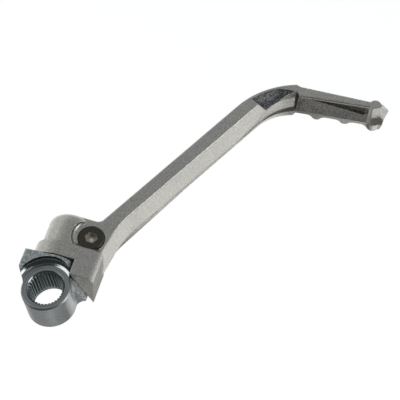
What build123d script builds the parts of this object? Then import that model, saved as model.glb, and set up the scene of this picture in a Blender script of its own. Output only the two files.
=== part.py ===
"""Folding kick start lever: a splined steel hub, a forged alloy arm that swings on the hub's stub,
the screw that keeps the arm on the stub, and the ball and spring that hold the arm folded or out.

The frame is the hub's: Z is the bore axis, pointing away from the engine, Y is the fold pivot,
and the origin is the middle of the bore. The arm is drawn flat in its own frame, with its broad
face to Z, and is then turned about the pivot to its folded place.
"""
import os
from math import atan2, cos, degrees, radians, sin, sqrt, tan

from build123d import *

# Splined hub
RING_RADIUS = 13.0
HUB_LENGTH = 18.6
SPLINE_TEETH = 33
SPLINE_ROOT_RADIUS = 9.5
SPLINE_TOOTH_HEIGHT = 1.1
SPLINE_LAND_SHARE = 0.22
PILOT_RADIUS = 9.8
PILOT_DEPTH = 3.0
BORE_CHAMFER = 0.5
RING_CHAMFER = 0.6
SPOT_FACE_RADIUS = 16.2
SPOT_FACE_FILLET = 4.0

# Shoulder block of the hub, which carries the stops
SHOULDER_TOP = 17.5
SHOULDER_LEFT = 17.0
SHOULDER_LEFT_FOOT = 8.0
SHOULDER_CORNER = 1.2
STOP_RADIUS = 13.5
WING_FOOT = 6.5
WING_LAND = 0.2

# Stub that the arm turns on
STUB_RADIUS = 8.8
STUB_LENGTH = 24.6
STUB_CHAMFER = 1.0
STUB_FIT = 0.06
STUB_END_GAP = 0.5

# Fold
FOLD_ANGLE = 9.0
FOLD_TRAVEL = 72.0
STOP_CLEARANCE = 0.05
SKIRT_GAP = 0.3

# Knuckle of the arm
BARREL_RADIUS = 13.3
BARREL_SHOULDER = 38.6
BARREL_CORNER = 6.2
DOME_HEIGHT = 1.8
SKIRT_LEFT = 15.4
SKIRT_RIGHT = 20.9
SKIRT_HALF_DEPTH = 13.8
SKIRT_LEFT_CORNER = 13.4
SKIRT_RIGHT_CORNER = 3.2
SKIRT_TOP = 28.3
SKIRT_BEVEL = 2.8
LUG_FOOT = 9.0

# Arm blade
ARM_FACE = 10.5
ARM_DEPTH = 16.8
ARM_DRAFT = 7.0
ARM_LEAN = 27.5
ARM_WIDTH = 7.6
ARM_OFFSET = 8.7
ARM_EDGE_RADIUS = 1.0
FLANGE_HEIGHT = 1.2
KNUCKLE_SIDE = 18.9
KNUCKLE_SIDE_RADIUS = 45.0
VALLEY_LEVEL = 44.0
VALLEY_RADIUS = 4.0
KNUCKLE_SIDE_LEAN = 9.5
KNUCKLE_SPREAD_SHARE = 0.33
HIDDEN_FOOT_RISE = 5.0
ROOT_BACK = -13.5
ROOT_START = 28.0
ROOT_END = 88.0

# Bend and foot pedal
PEDAL_LEVEL = 156.9
PEDAL_LENGTH = 48.0
BEND_REACH = 18.13
PEDAL_LEAN = 3.9
PEDAL_ROOT_WIDTH = 6.3
PEDAL_TIP_WIDTH = 3.0
CREST_SETBACK = 3.2
CREST_RISE = 0.7
CREST_LEAN = 20.4
CREST_RUN = 2.6
NOTCH_RUN = 2.0
NOTCH_RISE = 2.8
BEND_END_LEAN = 22.0
BEND_OUTER_FILL = 0.97
BEND_INNER_FILL = 0.75
SCOOP_RIM = 1.5
SCOOP_SLOPE = 63.0
SCOOP_LEAN = 10.0
SCOOP_RISE = 14.8
SCOOP_RAMP_LEAN = 26.0

# Lower half of the forging, below its parting line
LOWER_DRAFT = 7.0
LOWER_ARM_SPREAD = 3.0
LOWER_PEDAL_SPREAD = 1.7
LOWER_BEND_RADIUS = 27.0
WEB_SLOPE = 18.0
WEB_HEIGHT = 14.0
PARTING_RUN = 24.0
PARTING_LEVEL = -1.7
PARTING_DROP = 1.6
STEP_SETBACK = 2.0
STEP_RUN = 1.5
PEDAL_FOOT = -4.2
PEDAL_FOOT_DROP = 2.2

# Treads under the pedal
TREAD_LEVEL = -8.9
TREAD_PITCH_SHARE = 0.319
TREAD_COUNT = 2
TREAD_FIRST_SHARE = 0.227
TREAD_TIP = 2.2
TREAD_BASE = 7.2
TREAD_ROOT_RADIUS = 3.4
TREAD_TIP_RADIUS = 0.6
TOE_TREAD_SHARE = 0.252
TOE_TREAD_TIP = 8.0
TOE_TREAD_RADIUS = 2.6
TOE_TREAD_DROP = 0.9

# Groove along the pedal, its end knob and its pointed toe
GROOVE_START = 6.0
GROOVE_END = 38.0
GROOVE_TOP = 9.3
GROOVE_DROP = 6.6
GROOVE_DEPTH = 1.5
GROOVE_END_RADIUS = 3.0
GROOVE_LOW_RADIUS = 2.4
KNOB_RADIUS = 3.3
KNOB_SETBACK = 7.2
KNOB_RISE = 0.2
TOE_POINT_LEVEL = 4.2
TOE_UPPER_ANGLE = 32.0
TOE_LOWER_ANGLE = 11.0
TOE_FACET = 8.0
TOE_FACET_LEAN = 30.0
TOE_FACET_DROP = 2.0

# Retaining screw
SCREW_X = 11.7
SCREW_LEVEL = 33.5
SCREW_RADIUS = 4.0
SCREW_LENGTH = 13.6
SCREW_CLEARANCE = 0.15
SCREW_CHAMFER = 0.65
HEAD_RADIUS = 6.75
HEAD_HEIGHT = 4.0
HEAD_RISE = 1.1
HEAD_CHAMFER = 0.4
HEAD_CLEARANCE = 0.35
HEX_WIDTH = 6.0
HEX_DEPTH = 2.8
SPOT_RADIUS = 10.3
SPOT_FILLET = 2.4
GROOVE_CLEARANCE = 0.3

# Detent
BALL_RADIUS = 2.0
BALL_CLEARANCE = 0.1
BALL_CIRCLE = 12.0
BALL_ANGLE = 150.0
BALL_GAP = 0.05
DIMPLE_RADIUS = 2.3
DIMPLE_DEPTH = 0.5
DETENT_HOLE_DEPTH = 7.8
SPRING_WIRE = 0.5
SPRING_RADIUS = 1.5
SPRING_TURNS = 4
SPRING_STEPS = 10

# Derived places
BARREL_TOP = BARREL_SHOULDER + BARREL_CORNER + DOME_HEIGHT
SKIRT_FOOT = SHOULDER_TOP + SKIRT_GAP
STUB_END = SHOULDER_TOP + STUB_LENGTH
HUB_FRONT = HUB_LENGTH / 2
STOP_ANGLE = 90.0 - FOLD_TRAVEL
LUG_CUT_ANGLE = STOP_ANGLE + FOLD_ANGLE
LUG_CUT_RADIUS = STOP_RADIUS + STOP_CLEARANCE
ARM_BACK = ARM_FACE - ARM_DEPTH
ARM_UNDERSIDE = ARM_BACK - FLANGE_HEIGHT
ARM_LINE = PEDAL_LEVEL * tan(radians(ARM_LEAN)) - ARM_OFFSET / cos(radians(ARM_LEAN))
PEDAL_START = ARM_LINE + BEND_REACH
TOE_POINT = PEDAL_START + PEDAL_LENGTH
TREAD_FIRST = TREAD_FIRST_SHARE * PEDAL_LENGTH
TREAD_PITCH = TREAD_PITCH_SHARE * PEDAL_LENGTH
TOE_TREAD_START = TOE_TREAD_SHARE * PEDAL_LENGTH
PARTING_START = PEDAL_START - PARTING_RUN
TOE_LEVEL = TREAD_LEVEL - TOE_TREAD_DROP
HEAD_SEAT = ARM_FACE + HEAD_RISE - HEAD_HEIGHT
BALL_CENTRE = SHOULDER_TOP + BALL_GAP + BALL_RADIUS
DETENT_HOLE_END = SKIRT_FOOT + DETENT_HOLE_DEPTH
ARM_ANGLE = 90.0 - ARM_LEAN
OVERRUN = 1.0
BIG = 400.0
UPRIGHT = (Align.CENTER, Align.CENTER, Align.MIN)
HANGING = (Align.CENTER, Align.CENTER, Align.MAX)


def polar(radius, angle):
    """Point of the plane at a radius and an angle in degrees."""
    return (radius * cos(radians(angle)), radius * sin(radians(angle)))


def crossing(first_point, first_angle, second_point, second_angle):
    """Where two lines of a plane meet, each given by a point and its direction in degrees."""
    ax, ay = polar(1, first_angle)
    bx, by = polar(1, second_angle)
    dx = second_point[0] - first_point[0]
    dy = second_point[1] - first_point[1]
    reach = (dx * by - dy * bx) / (ax * by - ay * bx)
    return (first_point[0] + reach * ax, first_point[1] + reach * ay)


def half_plane(angle, distance):
    """A square far larger than the part, beyond a line at a distance from the origin."""
    return Rot(0, 0, angle) * Pos(distance + BIG / 2, 0) * Rectangle(BIG, BIG)


def along_pivot(sketch, start, end):
    """Prism of a sketch drawn in hub width and hub depth, from one pivot level to another."""
    plane = Plane(origin=(0, start, 0), x_dir=(1, 0, 0), z_dir=(0, 1, 0))
    mirrored = mirror(sketch, about=Plane.XZ)
    return extrude(plane * mirrored, amount=end - start)


def rounded(sketch, corners):
    """The sketch with a radius at each named corner."""
    for point, radius in corners:
        vertex = sketch.vertices().sort_by_distance(Vector(point[0], point[1], 0))[0]
        sketch = fillet(vertex, radius)
    return sketch


def spline_bore():
    """Serrated hole right through the hub."""
    pitch = 360.0 / SPLINE_TEETH
    tip_radius = SPLINE_ROOT_RADIUS - SPLINE_TOOTH_HEIGHT
    land = pitch * SPLINE_LAND_SHARE
    points = []
    for tooth in range(SPLINE_TEETH):
        angle = tooth * pitch
        points.append(polar(SPLINE_ROOT_RADIUS, angle - land / 2))
        points.append(polar(SPLINE_ROOT_RADIUS, angle + land / 2))
        points.append(polar(tip_radius, angle + (pitch - land) / 2))
        points.append(polar(tip_radius, angle + (pitch + land) / 2))
    profile = make_face(Polyline(*points, close=True))
    return Pos(0, 0, -HUB_LENGTH) * extrude(profile, amount=2 * HUB_LENGTH)


def shoulder_block():
    """Forged block over the ring, with the flat folded stop, the round swing path and the out stop."""
    line_x, line_z = polar(STOP_RADIUS, STOP_ANGLE)
    reach = (line_z + HUB_FRONT) / cos(radians(STOP_ANGLE))
    wing_tip = (line_x + reach * sin(radians(STOP_ANGLE)), -HUB_FRONT)
    back_left = (-SHOULDER_LEFT, -HUB_FRONT)
    front_left = (-SHOULDER_LEFT, STOP_RADIUS)
    swing_middle = polar(STOP_RADIUS, (STOP_ANGLE + 90) / 2)
    plan_edges = [
        Line(back_left, front_left),
        Line(front_left, (0, STOP_RADIUS)),
        ThreePointArc((0, STOP_RADIUS), swing_middle, (line_x, line_z)),
        Line((line_x, line_z), wing_tip),
        Line(wing_tip, back_left),
    ]
    plan = make_face(plan_edges)
    plan = rounded(plan, [(front_left, SHOULDER_CORNER), (back_left, SHOULDER_CORNER),
                          (wing_tip, SHOULDER_CORNER)])
    ring_side = RING_RADIUS - RING_CHAMFER
    front_view = make_face(Polyline(
        (-SHOULDER_LEFT, SHOULDER_TOP), (-SHOULDER_LEFT, SHOULDER_LEFT_FOOT), (-ring_side, 0),
        (ring_side, 0), (ring_side, WING_FOOT), (wing_tip[0], WING_FOOT),
        (wing_tip[0], SHOULDER_TOP), close=True))
    wing_fillet = wing_tip[0] - ring_side - WING_LAND
    front_view = rounded(front_view, [((ring_side, WING_FOOT), wing_fillet)])
    tall = along_pivot(plan, 0, SHOULDER_TOP)
    deep = Pos(0, 0, -BIG / 2) * extrude(front_view, amount=BIG)
    return tall & deep


def stub():
    """Turned pin that the arm swings on, with the groove for the retaining screw."""
    pin = Rot(-90, 0, 0) * Cylinder(STUB_RADIUS, STUB_END, align=UPRIGHT)
    pin = chamfer(pin.edges().group_by(Axis.Y)[-1], STUB_CHAMFER)
    floor_radius = SCREW_X - SCREW_RADIUS - GROOVE_CLEARANCE
    groove_width = 2 * (SCREW_RADIUS + GROOVE_CLEARANCE)
    band = Cylinder(STUB_RADIUS + OVERRUN, groove_width) - Cylinder(floor_radius, groove_width)
    return pin - Pos(0, SCREW_LEVEL, 0) * Rot(90, 0, 0) * band


def dimple(angle):
    """Shallow seat for the detent ball in the shoulder's top."""
    x, z = polar(BALL_CIRCLE, angle)
    return Pos(x, SHOULDER_TOP + DIMPLE_RADIUS - DIMPLE_DEPTH, z) * Sphere(DIMPLE_RADIUS)


def splined_hub():
    """Steel joint piece: ring, shoulder block and stub in one forging."""
    ring = Cylinder(RING_RADIUS, HUB_LENGTH)
    ring = chamfer(ring.edges().filter_by(GeomType.CIRCLE), RING_CHAMFER)
    block = shoulder_block()
    spot = Cylinder(SPOT_FACE_RADIUS, BIG, align=UPRIGHT)
    spot = fillet(spot.edges().group_by(Axis.Z)[0], SPOT_FACE_FILLET)
    block = block - Pos(0, 0, HUB_FRONT) * spot
    hub = ring + block + stub()
    pilot = Cylinder(PILOT_RADIUS, PILOT_DEPTH, align=UPRIGHT)
    lead_in = Cone(SPLINE_ROOT_RADIUS - SPLINE_TOOTH_HEIGHT, SPLINE_ROOT_RADIUS + BORE_CHAMFER,
                   SPLINE_TOOTH_HEIGHT + BORE_CHAMFER, align=HANGING)
    hub = hub - spline_bore() - Pos(0, 0, -HUB_FRONT) * pilot - Pos(0, 0, HUB_FRONT) * lead_in
    folded_seat = BALL_ANGLE - FOLD_ANGLE
    for angle in (folded_seat, folded_seat + FOLD_TRAVEL):
        hub = hub - dimple(angle)
    return hub


def barrel():
    """Domed barrel over the stub, with the pocket that clears the screw head."""
    corner_end = BARREL_RADIUS - BARREL_CORNER
    shoulder = (BARREL_RADIUS, BARREL_SHOULDER)
    crown_edge = (corner_end, BARREL_SHOULDER + BARREL_CORNER)
    corner_middle = (corner_end + BARREL_CORNER * cos(radians(45)),
                     BARREL_SHOULDER + BARREL_CORNER * sin(radians(45)))
    dome_radius = (corner_end ** 2 + DOME_HEIGHT ** 2) / (2 * DOME_HEIGHT)
    dome_drop = dome_radius - sqrt(dome_radius ** 2 - (corner_end / 2) ** 2)
    dome_middle = (corner_end / 2, BARREL_TOP - dome_drop)
    profile = make_face([
        Line((0, SKIRT_FOOT), (BARREL_RADIUS, SKIRT_FOOT)),
        Line((BARREL_RADIUS, SKIRT_FOOT), shoulder),
        ThreePointArc(shoulder, corner_middle, crown_edge),
        ThreePointArc(crown_edge, dome_middle, (0, BARREL_TOP)),
        Line((0, BARREL_TOP), (0, SKIRT_FOOT)),
    ])
    body = revolve(profile, Axis.Y)
    pocket = Cylinder(SPOT_RADIUS, BIG, align=UPRIGHT)
    pocket = fillet(pocket.edges().group_by(Axis.Z)[0], SPOT_FILLET)
    return body - Pos(SCREW_X, SCREW_LEVEL, ARM_FACE) * pocket


def skirt():
    """Broad foot of the knuckle, with the lug that swings between the hub's stops."""
    plan = Rectangle(SKIRT_RIGHT + SKIRT_LEFT, 2 * SKIRT_HALF_DEPTH)
    plan = Pos((SKIRT_RIGHT - SKIRT_LEFT) / 2, 0) * plan
    plan = rounded(plan, [
        ((-SKIRT_LEFT, SKIRT_HALF_DEPTH), SKIRT_LEFT_CORNER),
        ((-SKIRT_LEFT, -SKIRT_HALF_DEPTH), SKIRT_LEFT_CORNER),
        ((SKIRT_RIGHT, SKIRT_HALF_DEPTH), SKIRT_RIGHT_CORNER),
        ((SKIRT_RIGHT, -SKIRT_HALF_DEPTH), SKIRT_RIGHT_CORNER)])
    body = along_pivot(plan, SKIRT_FOOT, SKIRT_TOP)
    body = chamfer(body.edges().group_by(Axis.Y)[-1], SKIRT_BEVEL)
    lug_plan = plan & half_plane(LUG_CUT_ANGLE, LUG_CUT_RADIUS)
    lug = along_pivot(lug_plan, LUG_FOOT, SKIRT_FOOT + OVERRUN)
    return body + lug


def arm_edge(distance):
    """A point of an edge of the arm, at a distance from the line through the bore's centre."""
    return polar(distance, ARM_ANGLE + 90)


def pedal_top_end():
    """Toe end of the pedal's upper edge."""
    return (TOE_POINT, PEDAL_LEVEL + PEDAL_LENGTH * tan(radians(PEDAL_LEAN)))


def pedal_low_end():
    """Toe end of the pedal's lower edge."""
    return (TOE_POINT, pedal_top_end()[1] - PEDAL_TIP_WIDTH)


def pedal_low_root():
    """Arm end of the pedal's lower edge."""
    return (PEDAL_START, PEDAL_LEVEL - PEDAL_ROOT_WIDTH)


def pedal_low_angle():
    """Direction of the pedal's lower edge."""
    return degrees(atan2(pedal_low_end()[1] - pedal_low_root()[1], PEDAL_LENGTH))


def bend_corner(edge_point, end_point, end_angle):
    """Corner where an edge of the arm meets a line through a bend's end, and the radius that fills it."""
    corner = crossing(edge_point, ARM_ANGLE, end_point, end_angle)
    reach = sqrt((end_point[0] - corner[0]) ** 2 + (end_point[1] - corner[1]) ** 2)
    return corner, reach / tan(radians(ARM_ANGLE - end_angle) / 2)


def crest():
    """High end of the bend's outer edge, just before the pedal's upper edge."""
    return (PEDAL_START - CREST_SETBACK, PEDAL_LEVEL + CREST_RISE)


def notch():
    """Inner end of the bend's inner edge, just before the pedal's lower edge."""
    return (PEDAL_START - NOTCH_RUN, pedal_low_root()[1] + NOTCH_RISE)


def knuckle_points(spread):
    """Valley, side and foot of the outline beside the barrel, each outwards by a spread."""
    valley = crossing(arm_edge(ARM_OFFSET + spread), ARM_ANGLE, (0, VALLEY_LEVEL + spread), 0)
    side_foot = (KNUCKLE_SIDE + KNUCKLE_SPREAD_SHARE * spread, SKIRT_FOOT + HIDDEN_FOOT_RISE)
    inner_edge = arm_edge(ARM_OFFSET - ARM_WIDTH - spread)
    side = crossing(inner_edge, ARM_ANGLE, side_foot, 90 - KNUCKLE_SIDE_LEAN)
    return valley, side, side_foot


def knob(spread):
    """Round end of the pedal, about the middle of its width, larger by a spread."""
    top = pedal_top_end()[1] - KNOB_SETBACK * tan(radians(PEDAL_LEAN))
    low = pedal_low_end()[1] - KNOB_SETBACK * tan(radians(pedal_low_angle()))
    return Pos(TOE_POINT - KNOB_SETBACK, (top + low) / 2 + KNOB_RISE) * Circle(KNOB_RADIUS + spread)


def upper_outline():
    """Broad face of the arm, from the knuckle round the bend to the toe."""
    outer_edge = arm_edge(ARM_OFFSET)
    inner_edge = arm_edge(ARM_OFFSET - ARM_WIDTH)
    valley, side, side_foot = knuckle_points(0)
    bend_outer, outer_radius = bend_corner(outer_edge, crest(), CREST_LEAN)
    bend_inner, inner_radius = bend_corner(inner_edge, notch(), BEND_END_LEAN)
    crest_foot = (crest()[0] + CREST_RUN, PEDAL_LEVEL)
    outline = make_face(Polyline(
        (0, side_foot[1]), (0, valley[1]), valley, bend_outer, crest(), crest_foot, pedal_top_end(),
        pedal_low_end(), pedal_low_root(), notch(), bend_inner, side, side_foot, close=True))
    outline = rounded(outline, [
        (valley, VALLEY_RADIUS), (bend_outer, BEND_OUTER_FILL * outer_radius),
        (bend_inner, BEND_INNER_FILL * inner_radius), (side, KNUCKLE_SIDE_RADIUS)])
    return outline + knob(0)


def lower_outline():
    """Outline of the forging at its parting line, a little larger all round."""
    outer_edge = arm_edge(ARM_OFFSET + LOWER_ARM_SPREAD)
    inner_edge = arm_edge(ARM_OFFSET - ARM_WIDTH - LOWER_ARM_SPREAD)
    valley, side, side_foot = knuckle_points(LOWER_ARM_SPREAD)
    top_end = (TOE_POINT + OVERRUN, pedal_top_end()[1] + LOWER_PEDAL_SPREAD)
    low_end = (TOE_POINT + OVERRUN, pedal_low_end()[1] - LOWER_PEDAL_SPREAD)
    low_root = (PEDAL_START, pedal_low_root()[1] - LOWER_PEDAL_SPREAD)
    bend_outer = crossing(outer_edge, ARM_ANGLE, top_end, PEDAL_LEAN)
    bend_inner = crossing(inner_edge, ARM_ANGLE, low_root, pedal_low_angle())
    outline = make_face(Polyline(
        (0, side_foot[1]), (0, valley[1]), valley, bend_outer, top_end, low_end, bend_inner,
        side, side_foot, close=True))
    outline = rounded(outline, [
        (valley, VALLEY_RADIUS), (bend_outer, LOWER_BEND_RADIUS), (bend_inner, LOWER_BEND_RADIUS),
        (side, KNUCKLE_SIDE_RADIUS)])
    return outline + knob(LOWER_PEDAL_SPREAD)


def side_prism(points, corners=()):
    """Prism right across the arm of a side view drawn in arm length and depth."""
    view = rounded(make_face(Polyline(*points, close=True)), corners)
    return Pos(0, BIG / 2, 0) * Rot(90, 0, 0) * extrude(view, amount=BIG)


def end_prism(points):
    """Prism right along the arm of an end view drawn in pivot level and depth."""
    plane = Plane(origin=(-BIG / 2, 0, 0), x_dir=(0, 1, 0), z_dir=(1, 0, 0))
    return extrude(plane * make_face(Polyline(*points, close=True)), amount=BIG)


def drafted(outline, level, height, angle):
    """Prism of an outline from a level, whose sides lean outwards by an angle away from that level."""
    body = extrude(Pos(0, 0, level) * outline, amount=height)
    sides = body.faces().filter_by(Axis.Z, reverse=True)
    return draft(sides, Plane.XY.offset(level), -angle if height > 0 else angle)


def parting_line():
    """Side view of the parting line, from the knuckle to beyond the toe."""
    return [(-BIG, ARM_BACK), (PARTING_START, ARM_BACK), (PEDAL_START, PARTING_LEVEL),
            (TOE_POINT + OVERRUN, PARTING_LEVEL - PARTING_DROP)]


def underside(x):
    """Point of the pedal's underside, which falls towards the toe."""
    return (x, PEDAL_FOOT - PEDAL_FOOT_DROP * (x - PEDAL_START) / PEDAL_LENGTH)


def pedal_side():
    """Side view of the whole arm: flat arm, step, treads and the two end facets of the toe."""
    over = ARM_FACE - TOE_POINT_LEVEL
    under = TOE_POINT_LEVEL - TOE_LEVEL
    toe_top = (TOE_POINT - over * tan(radians(TOE_UPPER_ANGLE)), ARM_FACE)
    toe_foot = (TOE_POINT - under * tan(radians(TOE_LOWER_ANGLE)), TOE_LEVEL)
    step = PEDAL_START - STEP_SETBACK
    points = [(-BIG, ARM_FACE), (-BIG, ARM_UNDERSIDE), (step, ARM_UNDERSIDE), underside(step + STEP_RUN)]
    corners = []
    for tread in range(TREAD_COUNT):
        middle = PEDAL_START + TREAD_FIRST + tread * TREAD_PITCH
        roots = [underside(middle - TREAD_BASE / 2), underside(middle + TREAD_BASE / 2)]
        tips = [(middle - TREAD_TIP / 2, TREAD_LEVEL), (middle + TREAD_TIP / 2, TREAD_LEVEL)]
        points += [roots[0], tips[0], tips[1], roots[1]]
        corners += [(root, TREAD_ROOT_RADIUS) for root in roots]
        corners += [(tip, TREAD_TIP_RADIUS) for tip in tips]
    toe_root = underside(TOE_POINT - TOE_TREAD_START)
    toe_tip = (TOE_POINT - TOE_TREAD_TIP, TOE_LEVEL)
    points += [toe_root, toe_tip, toe_foot, (TOE_POINT, TOE_POINT_LEVEL), toe_top]
    corners += [(toe_root, TREAD_ROOT_RADIUS), (toe_tip, TOE_TREAD_RADIUS), (toe_foot, TOE_TREAD_RADIUS)]
    return side_prism(points, corners)


def web():
    """Sloping fill on the inside of the bend, from the lower half up to the wall of the upper one."""
    arm_line = arm_edge(ARM_OFFSET - ARM_WIDTH - LOWER_ARM_SPREAD - LOWER_BEND_RADIUS)
    below = polar(LOWER_PEDAL_SPREAD + LOWER_BEND_RADIUS, pedal_low_angle() - 90)
    pedal_line = (pedal_low_root()[0] + below[0], pedal_low_root()[1] + below[1])
    centre = crossing(arm_line, ARM_ANGLE, pedal_line, pedal_low_angle())
    foot = LOWER_BEND_RADIUS + (PARTING_LEVEL - ARM_BACK) * tan(radians(LOWER_DRAFT))
    head = foot + WEB_HEIGHT * tan(radians(WEB_SLOPE))
    core = head + OVERRUN
    section = make_face(Polyline((foot, 0), (head, WEB_HEIGHT), (core, WEB_HEIGHT), (core, 0), close=True))
    along = polar(1, pedal_low_angle() + 90)
    plane = Plane(origin=(centre[0], centre[1], ARM_BACK), x_dir=(along[0], along[1], 0),
                  z_dir=(along[1], -along[0], 0))
    axis = Axis((centre[0], centre[1], 0), (0, 0, 1))
    fill = revolve(plane * section, axis, revolution_arc=ARM_ANGLE - pedal_low_angle())
    return fill & side_prism([(PARTING_START, ARM_BACK), (PEDAL_START, PARTING_LEVEL),
                              (PEDAL_START, ARM_FACE), (PARTING_START, ARM_FACE)])


def blade():
    """Forging of arm and pedal: two halves that meet at the parting line, and a deeper root at the back."""
    line = parting_line()
    ends = [(TOE_POINT + OVERRUN, BIG), (-BIG, BIG)]
    depths = [(TOE_POINT + OVERRUN, -BIG), (-BIG, -BIG)]
    upper = drafted(upper_outline(), ARM_FACE, TOE_LEVEL - ARM_FACE, ARM_DRAFT)
    upper = fillet(upper.edges().group_by(Axis.Z)[-1], ARM_EDGE_RADIUS)
    upper = upper & side_prism(line + ends) - toe_facet()
    lower = drafted(lower_outline(), PARTING_LEVEL, ROOT_BACK - PARTING_LEVEL, -LOWER_DRAFT)
    lower = lower & side_prism(line + depths)
    root = lower & end_prism([(0, ARM_BACK), (ROOT_END, ARM_BACK), (ROOT_END, ARM_UNDERSIDE),
                              (ROOT_START, ROOT_BACK), (0, ROOT_BACK)])
    return ((upper + web() + lower) & pedal_side()) + root


def slanted(corner, angle):
    """Everything above a slope that starts at a corner of the broad face and falls to the line's right."""
    section = make_face(Polyline((0, 0), (BIG, -BIG * tan(radians(SCOOP_SLOPE))), (BIG, BIG), (0, BIG),
                                 close=True))
    right = polar(1, angle - 90)
    along = polar(1, angle)
    plane = Plane(origin=(corner[0] - BIG * along[0] / 2, corner[1] - BIG * along[1] / 2, ARM_FACE),
                  x_dir=(right[0], right[1], 0), z_dir=(-along[0], -along[1], 0))
    return extrude(plane * section, amount=-BIG)


def scoop():
    """Slanted hollow that runs round the inside of the bend, below its outer rim."""
    corner, radius = bend_corner(arm_edge(ARM_OFFSET), crest(), CREST_LEAN)
    inward = polar(radius, CREST_LEAN - 90)
    rim = radius - SCOOP_RIM
    cone = Cone(0, rim, rim * tan(radians(SCOOP_SLOPE)), align=HANGING)
    cone = Pos(crest()[0] + inward[0], crest()[1] + inward[1], ARM_FACE) * cone
    foot = crossing(arm_edge(ARM_OFFSET - ARM_WIDTH), ARM_ANGLE, (0, notch()[1] - SCOOP_RISE), 0)
    facing = degrees(atan2(NOTCH_RISE, -NOTCH_RUN)) + 90
    away = polar(1, facing)
    before_notch = half_plane(facing, away[0] * notch()[0] + away[1] * notch()[1])
    before_notch = drafted(before_notch, ARM_FACE, -BIG / 2, -ARM_DRAFT)
    return cone & slanted(notch(), SCOOP_LEAN) & slanted(foot, 180 - SCOOP_RAMP_LEAN) & before_notch


def pedal_groove():
    """Long groove in the pedal's lower side, which widens towards the toe and ends round."""
    root = pedal_low_root()
    inward = polar(GROOVE_DEPTH, pedal_low_angle() + 90)
    along = polar(1, pedal_low_angle())
    outward = polar(1, pedal_low_angle() - 90)
    plane = Plane(origin=(root[0] + inward[0], root[1] + inward[1], 0),
                  x_dir=(along[0], along[1], 0), z_dir=(outward[0], outward[1], 0))
    tip = (GROOVE_END, GROOVE_TOP)
    low_tip = (GROOVE_END, GROOVE_TOP - GROOVE_DROP)
    profile = make_face(Polyline((GROOVE_START, GROOVE_TOP), tip, low_tip, close=True))
    profile = rounded(profile, [(tip, GROOVE_END_RADIUS), (low_tip, GROOVE_LOW_RADIUS)])
    return extrude(plane * profile, amount=BIG)


def toe_facet():
    """What is cut away at the toe's lower corner."""
    corner = (TOE_POINT - TOE_FACET, pedal_low_end()[1] - TOE_FACET_DROP)
    slab = Pos(0, -BIG / 2) * Rectangle(2 * BIG, BIG)
    facet = extrude(Pos(*corner) * Rot(0, 0, TOE_FACET_LEAN) * slab, amount=BIG)
    keep = Pos(corner[0] + BIG / 2, 0, 0) * Box(BIG, 2 * BIG, BIG)
    return Pos(0, 0, -BIG / 2) * facet & keep


def lever_arm():
    """Forged alloy arm, in its own flat frame."""
    body = blade() - scoop() - pedal_groove()
    body = body + barrel() + skirt()
    bore = Rot(-90, 0, 0) * Cylinder(STUB_RADIUS + STUB_FIT, STUB_END + STUB_END_GAP, align=UPRIGHT)
    counterbore = Cylinder(HEAD_RADIUS + HEAD_CLEARANCE, BIG, align=UPRIGHT)
    counterbore = Pos(SCREW_X, SCREW_LEVEL, HEAD_SEAT) * counterbore
    screw_hole = Pos(SCREW_X, SCREW_LEVEL, 0) * Cylinder(SCREW_RADIUS + SCREW_CLEARANCE, BIG)
    x, z = polar(BALL_CIRCLE, BALL_ANGLE)
    detent = Rot(-90, 0, 0) * Cylinder(BALL_RADIUS + BALL_CLEARANCE, DETENT_HOLE_DEPTH, align=UPRIGHT)
    detent = Pos(x, SKIRT_FOOT, z) * detent
    return body - bore - counterbore - screw_hole - detent


def retaining_screw():
    """Low-head socket screw, in the arm's flat frame."""
    head = Cylinder(HEAD_RADIUS, HEAD_HEIGHT, align=UPRIGHT)
    head = chamfer(head.edges().group_by(Axis.Z)[-1], HEAD_CHAMFER)
    socket = extrude(RegularPolygon(HEX_WIDTH / 2, 6, major_radius=False), amount=HEX_DEPTH)
    head = head - Pos(0, 0, HEAD_HEIGHT - HEX_DEPTH) * socket
    shank = Cylinder(SCREW_RADIUS, SCREW_LENGTH, align=HANGING)
    shank = chamfer(shank.edges().group_by(Axis.Z)[0], SCREW_CHAMFER)
    return Pos(SCREW_X, SCREW_LEVEL, HEAD_SEAT) * (head + shank)


def detent_ball():
    """Ball that rides on the shoulder's top, in the arm's flat frame."""
    x, z = polar(BALL_CIRCLE, BALL_ANGLE)
    return Pos(x, BALL_CENTRE, z) * Sphere(BALL_RADIUS)


def detent_spring():
    """Square-wire coil spring from the ball to the end of its hole, in the arm's flat frame."""
    x, z = polar(BALL_CIRCLE, BALL_ANGLE)
    seat_radius = SPRING_RADIUS - SPRING_WIRE / 2
    start = BALL_CENTRE + sqrt(BALL_RADIUS ** 2 - seat_radius ** 2) + BALL_GAP
    height = DETENT_HOLE_END - start - 2 * SPRING_WIRE
    path = Helix(pitch=height / SPRING_TURNS, height=height, radius=SPRING_RADIUS)
    steps = SPRING_TURNS * SPRING_STEPS
    sections = []
    for step in range(steps + 1):
        point = path @ (step / steps)
        outward = (point.X, point.Y, 0)
        plane = Plane(origin=point, x_dir=outward, z_dir=path % (step / steps))
        sections.append(plane * Rectangle(SPRING_WIRE, SPRING_WIRE))
    coil = loft(sections, ruled=True)
    return Pos(x, start + SPRING_WIRE, z) * Rot(-90, 0, 0) * coil


def folded(piece):
    """A piece of the arm, turned about the pivot to its folded place."""
    return Rot(0, FOLD_ANGLE, 0) * piece


nodes = {
    "splined_hub": splined_hub(),
    "lever_arm": folded(lever_arm()),
    "retaining_screw": folded(retaining_screw()),
    "detent_ball": folded(detent_ball()),
    "detent_spring": folded(detent_spring()),
}
os.makedirs("parts", exist_ok=True)
for name, shape in nodes.items():
    export_step(shape, f"parts/{name}.step")
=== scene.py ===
"""Looks of the folding kick start lever: finishes, studio light and the photograph's camera."""
from math import cos, radians, sin, tau

import bmesh
import bpy
from mathutils import Matrix, Vector

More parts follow.
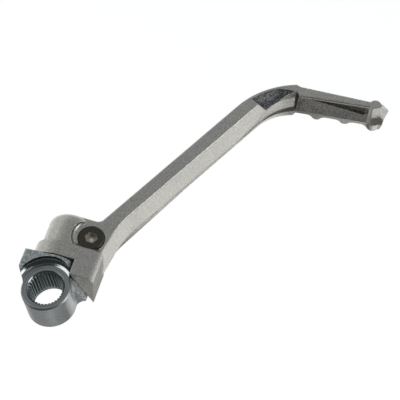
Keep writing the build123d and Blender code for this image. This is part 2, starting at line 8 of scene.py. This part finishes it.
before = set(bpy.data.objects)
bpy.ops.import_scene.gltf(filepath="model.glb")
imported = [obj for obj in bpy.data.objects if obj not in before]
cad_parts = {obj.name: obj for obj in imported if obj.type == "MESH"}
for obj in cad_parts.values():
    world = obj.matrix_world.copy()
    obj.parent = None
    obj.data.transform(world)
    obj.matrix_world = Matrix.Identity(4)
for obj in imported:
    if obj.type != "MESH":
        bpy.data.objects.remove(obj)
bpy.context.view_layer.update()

MM = 0.001

# Camera, in degrees and metres, with the bore centre's place in the photograph and the lens in millimetres
IMAGE_SIZE = 400
BORE_PIXEL = (48.91, 296.54)
CAMERA_AZIMUTH = 28.19
CAMERA_ELEVATION = 57.49
CAMERA_ROLL = -12.8
CAMERA_DEPTH = 1.0
SENSOR_WIDTH = 36.0
FOCAL_LENGTH = 175.6

# Turn of the folded arm about the fold pivot, in degrees
FOLD_ANGLE = 9.0

# Places that the finishes follow, in millimetres: on the arm as it is drawn flat, and on the hub
PEDAL_START = 90.0
BEYOND_TOE = 180.0
SCOOP_START = 66.0
LEDGE_TOP = 10.0
SCREW_PLACE = (11.7, 33.5)
SOCKET_RADIUS = 3.5
SOCKET_RIM = 11.4
DRILL_RADIUS = 1.0
HUB_FRONT = 9.3
RING_RADIUS = 13.0
RING_CHAMFER = 0.65
BORE_RADIUS = 9.9
SPOT_FACE_RADIUS = 16.2
SPOT_FACE_DEPTH = 0.7

# Where the arm is darkened, partly by the die's skin left on it and partly by painted shade on faces turned
# from
# the light and in recesses: the faces' directions and their places, each as low, high and softness by axis,
# and how much darkening there is
SKIN_AND_PAINTED_SHADE = {
    "pedal side": (
        {"Y": (-1.1, -0.94, 0.02), "Z": (0.06, 0.2, 0.05)},
        {"X": (PEDAL_START, BEYOND_TOE, 1.0)}, 0.4),
    "groove ledge": (
        {"Z": (0.9, 1.1, 0.05)},
        {"Z": (0.0, LEDGE_TOP, 0.2), "X": (PEDAL_START, BEYOND_TOE, 1.0)}, 0.62),
    "scoop": (
        {"Z": (0.42, 0.47, 0.02), "Y": (-0.95, -0.5, 0.05)},
        {"X": (SCOOP_START, PEDAL_START, 0.5)}, 1.0),
    "notch": (
        {"X": (-1.0, -0.5, 0.1), "Y": (-0.9, -0.2, 0.1)},
        {"X": (PEDAL_START - 3, PEDAL_START + 2, 0.5)}, 1.0),
    "web": (
        {"Y": (-1.1, -0.4, 0.1), "Z": (-0.3, 0.36, 0.05)},
        {"X": (PEDAL_START - 6, PEDAL_START, 5.0)}, 0.6),
}

# Patterns of the finishes, in millimetres. The real grain and tool marks are 0.1 to 0.2 mm across and the
# pits about 0.4 mm, and these are drawn coarser than that, so that they show
BLASTED_GRAIN = 0.4
DIE_SKIN_PITS = 0.8
ALLOY_CLOUDS = 10.0
PLATED_PITS = 1.0
PLATED_CLOUDS = 5.0
TOOL_MARKS = 1.6
OXIDE_GRAIN = 0.3
STEEL_CLOUDS = 0.8
# A ring wave of scale 1 runs through this many radians in a unit of length
WAVE_RATE = 20.0

# Depths of the patterns, roundness of the edges and reach of the painted shade and dirt in corners, in
# millimetres
GRAIN_DEPTH = 0.06
PIT_DEPTH = 0.12
MARK_DEPTH = 0.12
ALLOY_EDGE = 0.6
PLATED_EDGE = 0.3
CORNER_SHADE_REACH = 7.0

# Studio, in metres and watts, with each card as left, front, right and back, and each lamp as its place,
# width, height and power
FLOOR_LEVEL = -0.25
FLOOR_HALF = 12.0
CARD_LIFT = 0.002
PAPER_GLOW = 0.64
# The cards glow evenly and only the metal sees them, so they are painted reflections: the grey and black
# ones paint dark surroundings and the part's own shadow on the floor into the metal, and the white one is a
# painted highlight
WHITE_GLOW = 1.5
GREY_GLOW = 0.36
BLACK_GLOW = 0.15
WHITE_CARDS = ((0.15, 0.03, 0.2, 0.09),)
GREY_CARDS = ((-0.6, -0.2, 0.07, 0.01), (-0.6, -0.6, 0.05, -0.2))
BLACK_CARDS = (
    (-0.1, 0.01, 0.145, 0.085), (-0.15, 0.085, 0.065, 0.18), (0.23, -0.06, 0.36, 0.06),
    (-3.0, -3.0, 0.05, -0.6), (-3.0, -0.6, -0.6, 0.01), (0.05, -3.0, 0.45, -0.8), (1.6, -3.0, 3.0, -0.6),
    (0.33, 0.14, 0.48, 0.3), (0.07, -0.2, 0.17, 0.01), (0.17, -0.12, 0.23, 0.03))
LAMP_AIM = (0.06, 0.08, 0.0)
LAMPS = {
    "left_softbox": ((-0.68, 0.55, 0.3), 0.9, 0.6, 0.52),
    "key_softbox": ((-0.57, -0.15, 0.68), 0.4, 0.45, 1.35),
    "top_softbox": ((0.45, -0.16, 0.83), 0.22, 0.22, 0.3),
    "right_softbox": ((0.95, 0.02, 0.27), 0.5, 0.26, 1.3),
}

# Room round the studio: its level and the overhead level, the camera side's share of them, and the bands of
# the upward and backward direction over which they change
ROOM_LEVEL = 0.44
OVERHEAD_LEVEL = 0.27
CAMERA_SIDE_SHARE = 0.15
OVERHEAD_BAND = (0.8, 0.98)
CAMERA_SIDE_BAND = (-0.35, 0.2)


def linear(code):
    """An sRGB hex colour as linear red, green, blue and full alpha."""
    channels = [int(code[i:i + 2], 16) / 255 for i in (1, 3, 5)]
    return tuple(c / 12.92 if c <= 0.04045 else ((c + 0.055) / 1.055) ** 2.4 for c in channels) + (1.0,)


def add(tree, kind, inputs=None, **settings):
    """A node with its settings, and its inputs set to values or linked to other nodes' outputs."""
    node = tree.nodes.new(kind)
    for name, value in settings.items():
        setattr(node, name, value)
    for name, value in (inputs or {}).items():
        if isinstance(value, bpy.types.NodeSocket):
            tree.links.new(value, node.inputs[name])
        else:
            node.inputs[name].default_value = value
    return node


def new_material(name):
    """An empty node material, with its tree and its output."""
    material = bpy.data.materials.new(name)
    material.use_nodes = True
    tree = material.node_tree
    tree.nodes.clear()
    return material, tree, add(tree, "ShaderNodeOutputMaterial")


def millimetres(tree):
    """The piece's own coordinates in millimetres."""
    own = add(tree, "ShaderNodeTexCoord").outputs["Object"]
    scale = (1 / MM, 1 / MM, 1 / MM)
    return add(tree, "ShaderNodeMapping", {"Vector": own, "Scale": scale}).outputs["Vector"]


def laid_flat(tree, point):
    """Places and face directions on the arm as it is drawn flat, before its turn about the fold pivot."""
    turn = (0, radians(-FOLD_ANGLE), 0)
    normal = add(tree, "ShaderNodeTexCoord").outputs["Normal"]
    place = add(tree, "ShaderNodeMapping", {"Vector": point, "Rotation": turn})
    facing = add(tree, "ShaderNodeMapping", {"Vector": normal, "Rotation": turn}, vector_type="NORMAL")
    return place.outputs["Vector"], facing.outputs["Vector"]


def from_axis(tree, axes):
    """The distance of a place from the Z axis."""
    across = add(tree, "ShaderNodeCombineXYZ", {"X": axes["X"], "Y": axes["Y"]}).outputs["Vector"]
    return add(tree, "ShaderNodeVectorMath", {0: across}, operation="LENGTH").outputs["Value"]


def between(tree, value, low, high, soft):
    """A factor that is 1 where a value lies between two limits, with soft ends."""
    over = add(tree, "ShaderNodeMapRange", {
        "Value": value, "From Min": low - soft, "From Max": low + soft})
    under = add(tree, "ShaderNodeMapRange", {
        "Value": value, "From Min": high + soft, "From Max": high - soft})
    return times(tree, over.outputs["Result"], under.outputs["Result"])


def times(tree, *factors):
    """The product of some factors."""
    result = factors[0]
    for factor in factors[1:]:
        result = add(tree, "ShaderNodeMath", {0: result, 1: factor}, operation="MULTIPLY").outputs[0]
    return result


def skin_and_painted_shade(tree, axes, facing):
    """How much the arm is darkened at a place: the die's skin left there, and painted shade on faces turned
    from the light and in recesses.
    """
    skin = 0.0
    for directions, places, share in SKIN_AND_PAINTED_SHADE.values():
        limits = [between(tree, facing[axis], *limit) for axis, limit in directions.items()]
        limits += [between(tree, axes[axis], *limit) for axis, limit in places.items()]
        skin = add(tree, "ShaderNodeMath", {0: times(tree, *limits), 1: share, 2: skin},
                   operation="MULTIPLY_ADD", use_clamp=True).outputs[0]
    return skin


def blasted_aluminium():
    """Forged aluminium, bead blasted: a satin silver grain, dark and coarse where the die's skin is left,
    with painted shade darkening faces turned from the light and recesses.
    """
    material, tree, output = new_material("bead_blasted_aluminium")
    point = millimetres(tree)
    place, facing = laid_flat(tree, point)
    # skin is the darkening: the die's skin and the painted shade on faces turned from the light and in
    # recesses
    skin = skin_and_painted_shade(tree, add(tree, "ShaderNodeSeparateXYZ", {"Vector": place}).outputs,
                    add(tree, "ShaderNodeSeparateXYZ", {"Vector": facing}).outputs)
    grain = add(tree, "ShaderNodeTexNoise", {
        "Vector": point, "Scale": 1 / BLASTED_GRAIN, "Detail": 2.0, "Roughness": 0.6})
    pits = add(tree, "ShaderNodeTexNoise", {
        "Vector": point, "Scale": 1 / DIE_SKIN_PITS, "Detail": 2.0, "Roughness": 0.6})
    cloud = add(tree, "ShaderNodeTexNoise", {"Vector": point, "Scale": 1 / ALLOY_CLOUDS, "Detail": 2.0})
    silver = add(tree, "ShaderNodeMix", {
        "Factor": cloud.outputs["Fac"], 6: linear("#bfbdb8"), 7: linear("#c9c6bf")}, data_type="RGBA")
    dark = add(tree, "ShaderNodeMix", {
        "Factor": skin, 6: silver.outputs[2], 7: linear("#4d4f54")}, data_type="RGBA")
    speck = add(tree, "ShaderNodeMapRange", {
        "Value": grain.outputs["Fac"], "From Min": 0.3, "From Max": 0.7, "To Min": 0.5, "To Max": 1.5})
    pock = add(tree, "ShaderNodeMapRange", {
        "Value": pits.outputs["Fac"], "From Min": 0.37, "From Max": 0.63, "To Min": 0.15, "To Max": 1.85})
    mottle = add(tree, "ShaderNodeMix", {
        "Factor": skin, 2: speck.outputs["Result"], 3: pock.outputs["Result"]}, data_type="FLOAT")
    grainy = add(tree, "ShaderNodeMix", {"Factor": 1.0, 6: dark.outputs[2], 7: mottle.outputs[0]},
                 data_type="RGBA", blend_type="MULTIPLY")
    satin = add(tree, "ShaderNodeMapRange", {"Value": grain.outputs["Fac"], "To Min": 0.22, "To Max": 0.4})
    softened = add(tree, "ShaderNodeBevel", {"Radius": ALLOY_EDGE * MM}, samples=6)
    bump = add(tree, "ShaderNodeBump", {
        "Height": grain.outputs["Fac"], "Strength": 0.3, "Distance": GRAIN_DEPTH * MM,
        "Normal": softened.outputs["Normal"]})
    shader = add(tree, "ShaderNodeBsdfPrincipled", {
        "Base Color": grainy.outputs[2], "Metallic": 1.0, "Roughness": satin.outputs["Result"],
        "Normal": bump.outputs["Normal"]})
    tree.links.new(shader.outputs["BSDF"], output.inputs["Surface"])
    return material


def zinc_plated_steel():
    """Steel forging under bright zinc: bluish grey and pitted, with turned rings round the bore, and painted
    shade and dirt in its corners.
    """
    material, tree, output = new_material("zinc_plated_steel")
    point = millimetres(tree)
    axes = add(tree, "ShaderNodeSeparateXYZ", {"Vector": point}).outputs
    radius = from_axis(tree, axes)
    # The front ring and the spot face round it are turned, but not the ring's chamfer
    face = times(tree, between(tree, radius, 0.0, SPOT_FACE_RADIUS, 0.1),
                 between(tree, axes["Z"], HUB_FRONT - SPOT_FACE_DEPTH, 3 * HUB_FRONT, 0.05))
    chamfer = times(tree, between(tree, radius, RING_RADIUS - RING_CHAMFER, RING_RADIUS + 0.05, 0.05),
                    between(tree, axes["Z"], 0.0, HUB_FRONT - 0.02, 0.01))
    turned = add(tree, "ShaderNodeMath", {0: face, 1: chamfer},
                 operation="SUBTRACT", use_clamp=True).outputs[0]
    forged = add(tree, "ShaderNodeMath", {0: 1.0, 1: turned}, operation="SUBTRACT").outputs[0]
    bore = between(tree, radius, 0.0, BORE_RADIUS, 0.1)
    pits = add(tree, "ShaderNodeTexNoise", {
        "Vector": point, "Scale": 1 / PLATED_PITS, "Detail": 3.0, "Roughness": 0.65})
    cloud = add(tree, "ShaderNodeTexNoise", {"Vector": point, "Scale": 1 / PLATED_CLOUDS, "Detail": 2.0})
    rings = add(tree, "ShaderNodeTexWave", {
        "Vector": point, "Scale": tau / (WAVE_RATE * TOOL_MARKS), "Distortion": 0.6},
        wave_type="RINGS", rings_direction="Z")
    zinc = add(tree, "ShaderNodeMix", {
        "Factor": cloud.outputs["Fac"], 6: linear("#b3b8b9"), 7: linear("#c3c6c5")}, data_type="RGBA")
    machined = add(tree, "ShaderNodeMix", {"Factor": turned, 6: zinc.outputs[2], 7: linear("#9a9fa0")},
                   data_type="RGBA")
    broached = add(tree, "ShaderNodeMix", {"Factor": bore, 6: machined.outputs[2], 7: linear("#a3acac")},
                   data_type="RGBA")
    # The pits show most on the rough shoulder outside the ring, and the corners are darkened with painted
    # shade and dirt
    offset = add(tree, "ShaderNodeMath", {0: pits.outputs["Fac"], 1: 0.5}, operation="SUBTRACT")
    coarse = add(tree, "ShaderNodeMapRange", {
        "Value": radius, "From Min": RING_RADIUS + 0.1, "From Max": RING_RADIUS + 0.6,
        "To Min": 1.0, "To Max": 3.0})
    speck = add(tree, "ShaderNodeMath", {
        0: times(tree, offset.outputs[0], forged), 1: coarse.outputs["Result"], 2: 1.0},
        operation="MULTIPLY_ADD")
    corners = add(tree, "ShaderNodeAmbientOcclusion", {"Distance": CORNER_SHADE_REACH * MM}, samples=6)
    corner_shade = add(tree, "ShaderNodeMapRange", {
        "Value": corners.outputs["AO"], "From Min": 0.35, "From Max": 0.85, "To Min": 0.55, "To Max": 1.0})
    shade = times(tree, speck.outputs[0], corner_shade.outputs["Result"])
    pitted = add(tree, "ShaderNodeMix", {"Factor": 1.0, 6: broached.outputs[2], 7: shade},
                 data_type="RGBA", blend_type="MULTIPLY")
    roughness = add(tree, "ShaderNodeMapRange", {"Value": turned, "To Min": 0.36, "To Max": 0.15})
    softened = add(tree, "ShaderNodeBevel", {"Radius": PLATED_EDGE * MM}, samples=6)
    pit_bump = add(tree, "ShaderNodeBump", {
        "Height": times(tree, pits.outputs["Fac"], forged), "Strength": 0.5, "Distance": PIT_DEPTH * MM,
        "Normal": softened.outputs["Normal"]})
    ring_bump = add(tree, "ShaderNodeBump", {
        "Height": times(tree, rings.outputs["Fac"], turned), "Strength": 0.7, "Distance": MARK_DEPTH * MM,
        "Normal": pit_bump.outputs["Normal"]})
    shader = add(tree, "ShaderNodeBsdfPrincipled", {
        "Base Color": pitted.outputs[2], "Metallic": 1.0, "Roughness": roughness.outputs["Result"],
        "Normal": ring_bump.outputs["Normal"]})
    tree.links.new(shader.outputs["BSDF"], output.inputs["Surface"])
    return material


def black_oxide_steel():
    """Alloy steel screw, blackened: near black with a speckle, its socket worn bright by the key and
    lightened with painted light, with painted highlights on its walls and at its centre.
    """
    material, tree, output = new_material("black_oxide_steel")
    point = millimetres(tree)
    place, facing = laid_flat(tree, point)
    centred = add(tree, "ShaderNodeMapping", {
        "Vector": place, "Location": (-SCREW_PLACE[0], -SCREW_PLACE[1], 0)}).outputs["Vector"]
    axes = add(tree, "ShaderNodeSeparateXYZ", {"Vector": centred}).outputs
    upward = add(tree, "ShaderNodeSeparateXYZ", {"Vector": facing}).outputs["Z"]
    radius = from_axis(tree, axes)
    # The socket is lighter inside and brightest on its walls and at its centre: partly wear by the key,
    # partly painted light and painted highlights
    inside = times(tree, between(tree, radius, -1.0, SOCKET_RADIUS, 0.1),
                   between(tree, axes["Z"], 0.0, SOCKET_RIM, 0.1))
    walls = times(tree, inside, between(tree, upward, -0.5, 0.5, 0.1))
    centre = times(tree, inside, between(tree, radius, -1.0, DRILL_RADIUS, 0.4))
    worn = add(tree, "ShaderNodeMath", {0: walls, 1: centre}, operation="ADD", use_clamp=True).outputs[0]
    grain = add(tree, "ShaderNodeTexNoise", {
        "Vector": point, "Scale": 1 / OXIDE_GRAIN, "Detail": 3.0, "Roughness": 0.7})
    black = add(tree, "ShaderNodeMix", {
        "Factor": grain.outputs["Fac"], 6: linear("#37332f"), 7: linear("#6a655d")}, data_type="RGBA")
    rubbed_and_lit = add(tree, "ShaderNodeMix", {"Factor": inside, 6: black.outputs[2], 7: linear("#b4aea4")},
                 data_type="RGBA")
    bare_and_glint = add(tree, "ShaderNodeMix", {"Factor": worn, 6: rubbed_and_lit.outputs[2], 7: linear("#f0ece4")},
               data_type="RGBA")
    roughness = add(tree, "ShaderNodeMapRange", {"Value": worn, "To Min": 0.42, "To Max": 0.3})
    bump = add(tree, "ShaderNodeBump", {
        "Height": grain.outputs["Fac"], "Strength": 0.3, "Distance": GRAIN_DEPTH * MM})
    shader = add(tree, "ShaderNodeBsdfPrincipled", {
        "Base Color": bare_and_glint.outputs[2], "Metallic": 1.0, "Roughness": roughness.outputs["Result"],
        "Normal": bump.outputs["Normal"]})
    tree.links.new(shader.outputs["BSDF"], output.inputs["Surface"])
    return material


def bright_steel(name, code, roughness):
    """Ground or drawn bright steel, as on a bearing ball or spring wire: clean, with faint clouds."""
    material, tree, output = new_material(name)
    point = millimetres(tree)
    cloud = add(tree, "ShaderNodeTexNoise", {"Vector": point, "Scale": 1 / STEEL_CLOUDS, "Detail": 2.0})
    shade = add(tree, "ShaderNodeMapRange", {"Value": cloud.outputs["Fac"], "To Min": 0.9, "To Max": 1.05})
    steel = add(tree, "ShaderNodeMix", {"Factor": 1.0, 6: linear(code), 7: shade.outputs["Result"]},
                data_type="RGBA", blend_type="MULTIPLY")
    shader = add(tree, "ShaderNodeBsdfPrincipled", {
        "Base Color": steel.outputs[2], "Metallic": 1.0, "Roughness": roughness})
    tree.links.new(shader.outputs["BSDF"], output.inputs["Surface"])
    return material


def dress(node, material):
    """Gives a CAD node its finish."""
    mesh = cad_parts[node].data
    mesh.materials.clear()
    mesh.materials.append(material)


def camera():
    """The photograph's camera, placed so that the bore centre falls on its pixel."""
    azimuth = radians(CAMERA_AZIMUTH)
    elevation = radians(CAMERA_ELEVATION)
    back = Vector((sin(azimuth) * cos(elevation), -cos(azimuth) * cos(elevation), sin(elevation)))
    level = Vector((cos(azimuth), sin(azimuth), 0))
    rise = back.cross(level)
    roll = radians(CAMERA_ROLL)
    right = level * cos(roll) + rise * sin(roll)
    up = back.cross(right)
    pixels = FOCAL_LENGTH / SENSOR_WIDTH * IMAGE_SIZE
    across = (BORE_PIXEL[0] - IMAGE_SIZE / 2) / pixels * CAMERA_DEPTH
    down = (BORE_PIXEL[1] - IMAGE_SIZE / 2) / pixels * CAMERA_DEPTH
    data = bpy.data.cameras.new("photo_camera")
    data.sensor_width = SENSOR_WIDTH
    data.lens = FOCAL_LENGTH
    eye = bpy.data.objects.new("photo_camera", data)
    eye.matrix_world = Matrix((right, up, back)).transposed().to_4x4()
    eye.location = back * CAMERA_DEPTH - right * across + up * down
    bpy.context.scene.collection.objects.link(eye)
    bpy.context.scene.camera = eye


def paper():
    """White paper, which shows white to the eye and in the metal, and keeps a soft shadow."""
    material, tree, output = new_material("white_paper")
    path = add(tree, "ShaderNodeLightPath").outputs
    seen = add(tree, "ShaderNodeMath", {0: path["Is Camera Ray"], 1: path["Is Glossy Ray"]}, operation="ADD")
    shown = add(tree, "ShaderNodeMath", {0: seen.outputs[0], 1: path["Is Transmission Ray"]},
                operation="ADD", use_clamp=True)
    glow = times(tree, shown.outputs[0], PAPER_GLOW)
    sheet = add(tree, "ShaderNodeBsdfDiffuse", {"Color": linear("#f4f4f2")})
    white = add(tree, "ShaderNodeEmission", {"Color": linear("#ffffff"), "Strength": glow})
    both = add(tree, "ShaderNodeAddShader", {0: sheet.outputs[0], 1: white.outputs[0]})
    tree.links.new(both.outputs[0], output.inputs["Surface"])
    return material


def reflection_card(name, glow):
    """A card that glows evenly and that only the metal sees, a painted reflection, as light or dark as the
    metal is to show it.
    """
    material, tree, output = new_material(name)
    dull = add(tree, "ShaderNodeEmission", {"Color": linear("#ffffff"), "Strength": glow})
    tree.links.new(dull.outputs[0], output.inputs["Surface"])
    return material


def level_sheet(name, left, front, right, back, level, material):
    """A flat sheet of the stage, between two corners."""
    shape = bmesh.new()
    bmesh.ops.create_grid(shape, x_segments=1, y_segments=1, size=0.5)
    bmesh.ops.scale(shape, verts=shape.verts, vec=(right - left, back - front, 1))
    bmesh.ops.translate(shape, verts=shape.verts, vec=((left + right) / 2, (front + back) / 2, level))
    mesh = bpy.data.meshes.new(name)
    shape.to_mesh(mesh)
    shape.free()
    mesh.materials.append(material)
    sheet = bpy.data.objects.new(name, mesh)
    bpy.context.scene.collection.objects.link(sheet)
    return sheet


def stage():
    """White floor, and glowing cards just over it that only the metal sees: painted reflections, the grey
    and black ones painted shade and the white one a painted highlight.
    """
    level_sheet("floor", -FLOOR_HALF, -FLOOR_HALF, FLOOR_HALF, FLOOR_HALF, FLOOR_LEVEL, paper())
    grey = reflection_card("grey_painted_reflection", GREY_GLOW)
    black = reflection_card("black_painted_reflection", BLACK_GLOW)
    white = reflection_card("white_painted_reflection", WHITE_GLOW)
    cards = [(corners, grey) for corners in GREY_CARDS]
    cards += [(corners, black) for corners in BLACK_CARDS]
    cards += [(corners, white) for corners in WHITE_CARDS]
    for number, (corners, finish) in enumerate(cards, 1):
        card = level_sheet(f"card_{number}", *corners, FLOOR_LEVEL + CARD_LIFT, finish)
        card.visible_camera = False
        card.visible_diffuse = False
        card.visible_shadow = False


def lamp(name, place, width, height, power):
    """A soft box at a place, turned to the middle of the part."""
    data = bpy.data.lights.new(name, "AREA")
    data.shape = "RECTANGLE"
    data.size = width
    data.size_y = height
    data.energy = power
    box = bpy.data.objects.new(name, data)
    box.location = place
    box.rotation_mode = "QUATERNION"
    box.rotation_quaternion = (Vector(LAMP_AIM) - Vector(place)).to_track_quat("-Z", "Y")
    box.visible_camera = False
    bpy.context.scene.collection.objects.link(box)


def room():
    """Grey studio room: pale behind the part, darker overhead and on the camera's side."""
    world = bpy.data.worlds.new("studio")
    world.use_nodes = True
    tree = world.node_tree
    tree.nodes.clear()
    output = add(tree, "ShaderNodeOutputWorld")
    place = add(tree, "ShaderNodeTexCoord")
    axes = add(tree, "ShaderNodeSeparateXYZ", {"Vector": place.outputs["Generated"]}).outputs
    height = add(tree, "ShaderNodeMapRange", {
        "Value": axes["Z"], "From Min": OVERHEAD_BAND[0], "From Max": OVERHEAD_BAND[1],
        "To Min": ROOM_LEVEL, "To Max": OVERHEAD_LEVEL})
    behind = add(tree, "ShaderNodeMapRange", {
        "Value": axes["Y"], "From Min": CAMERA_SIDE_BAND[0], "From Max": CAMERA_SIDE_BAND[1],
        "To Min": CAMERA_SIDE_SHARE, "To Max": 1.0})
    glow = times(tree, height.outputs["Result"], behind.outputs["Result"])
    air = add(tree, "ShaderNodeBackground", {"Color": linear("#f8fdff"), "Strength": glow})
    tree.links.new(air.outputs[0], output.inputs["Surface"])
    bpy.context.scene.world = world


camera()
room()
stage()
for lamp_name, lamp_sizes in LAMPS.items():
    lamp(lamp_name, *lamp_sizes)

dress("lever_arm", blasted_aluminium())
dress("splined_hub", zinc_plated_steel())
dress("retaining_screw", black_oxide_steel())
dress("detent_ball", bright_steel("bearing_steel", "#d0d2d4", 0.12))
dress("detent_spring", bright_steel("spring_wire", "#a8a8a9", 0.3))

bpy.context.scene.view_settings.view_transform = "Standard"
